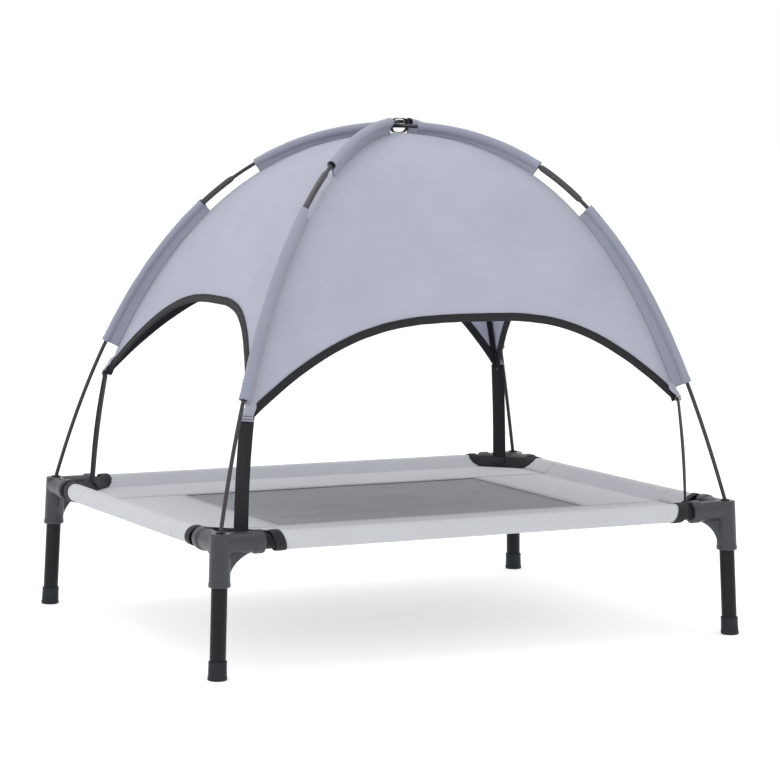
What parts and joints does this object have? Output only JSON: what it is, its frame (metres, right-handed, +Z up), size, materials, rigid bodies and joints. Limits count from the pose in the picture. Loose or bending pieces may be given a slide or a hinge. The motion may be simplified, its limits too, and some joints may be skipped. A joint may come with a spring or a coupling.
{
  "type": "raised dog bed with canopy",
  "caption": "Raised dog bed: fabric deck with mesh window on a steel tube frame with moulded corners, and a lift-off dome canopy on crossed flexible poles.",
  "frame": {"origin": "on the floor, under the middle of the bed", "axes": "+X along the long side, +Y across to the back, +Z up; the front is at -Y"},
  "size_m": [0.7674, 0.6174, 0.6813],
  "materials": {
    "coated_steel": "satin black powder coat",
    "foot_plastic": "matte moulded",
    "connector_plastic": "fine-grained moulded, slight sheen",
    "cap_plastic": "matte moulded",
    "bed_canvas": "light grey plain-weave polyester",
    "mesh_fabric": "dark grey open mesh",
    "canopy_cloth": "thin lavender-grey polyester, lets some light through",
    "black_webbing": "ribbed black tape and webbing",
    "fibreglass_pole": "smooth dark grey rod",
    "dark_ferrule": "dark satin metal",
    "elastic_cord": "braided elastic"
  },
  "bodies": {
    "bed": {"foot_cap_front_left": "foot_plastic", "foot_cap_front_right": "foot_plastic", "foot_cap_back_left": "foot_plastic", "foot_cap_back_right": "foot_plastic", "leg_tube_front_left": "coated_steel", "leg_tube_front_right": "coated_steel", "leg_tube_back_left": "coated_steel", "leg_tube_back_right": "coated_steel", "corner_connector_front_left": "connector_plastic", "corner_connector_front_right": "connector_plastic", "corner_connector_back_left": "connector_plastic", "corner_connector_back_right": "connector_plastic", "pole_cap_front_left": "cap_plastic", "pole_cap_front_right": "cap_plastic", "pole_cap_back_left": "cap_plastic", "pole_cap_back_right": "cap_plastic", "rail_front": "coated_steel", "rail_back": "coated_steel", "rail_left": "coated_steel", "rail_right": "coated_steel", "cover_mesh_window": "mesh_fabric", "cover_side_panel_left": "bed_canvas", "cover_side_panel_right": "bed_canvas", "cover_end_strip_front": "bed_canvas", "cover_end_strip_back": "bed_canvas", "corner_trim_front_left": "black_webbing", "corner_trim_front_right": "black_webbing", "corner_trim_back_left": "black_webbing", "corner_trim_back_right": "black_webbing"},
    "canopy": {"canopy_panel_front": "canopy_cloth", "canopy_panel_right": "canopy_cloth", "canopy_panel_back": "canopy_cloth", "canopy_panel_left": "canopy_cloth", "lower_pole_sleeve_front_left": "canopy_cloth", "lower_pole_sleeve_front_right": "canopy_cloth", "lower_pole_sleeve_back_left": "canopy_cloth", "lower_pole_sleeve_back_right": "canopy_cloth", "upper_pole_sleeve_front_left": "canopy_cloth", "upper_pole_sleeve_front_right": "canopy_cloth", "upper_pole_sleeve_back_left": "canopy_cloth", "upper_pole_sleeve_back_right": "canopy_cloth", "pole_end_section_front_left": "fibreglass_pole", "pole_end_section_front_right": "fibreglass_pole", "pole_end_section_back_left": "fibreglass_pole", "pole_end_section_back_right": "fibreglass_pole", "pole_crown_section_front_left": "fibreglass_pole", "pole_crown_section_front_right": "fibreglass_pole", "pole_ferrule_front_left": "dark_ferrule", "pole_ferrule_front_right": "dark_ferrule", "pole_ferrule_back_left": "dark_ferrule", "pole_ferrule_back_right": "dark_ferrule", "pole_shock_cord_front_left": "elastic_cord", "pole_shock_cord_front_right": "elastic_cord", "corner_strap_front_left": "black_webbing", "corner_strap_front_right": "black_webbing", "corner_strap_back_left": "black_webbing", "corner_strap_back_right": "black_webbing", "crown_tie": "black_webbing"}
  },
  "joints": [
    {"name": "canopy_lift", "type": "slide", "parent": "bed", "child": "canopy", "axis": [0, 0, 1], "range_m": [0, 0.25]}
  ]
}
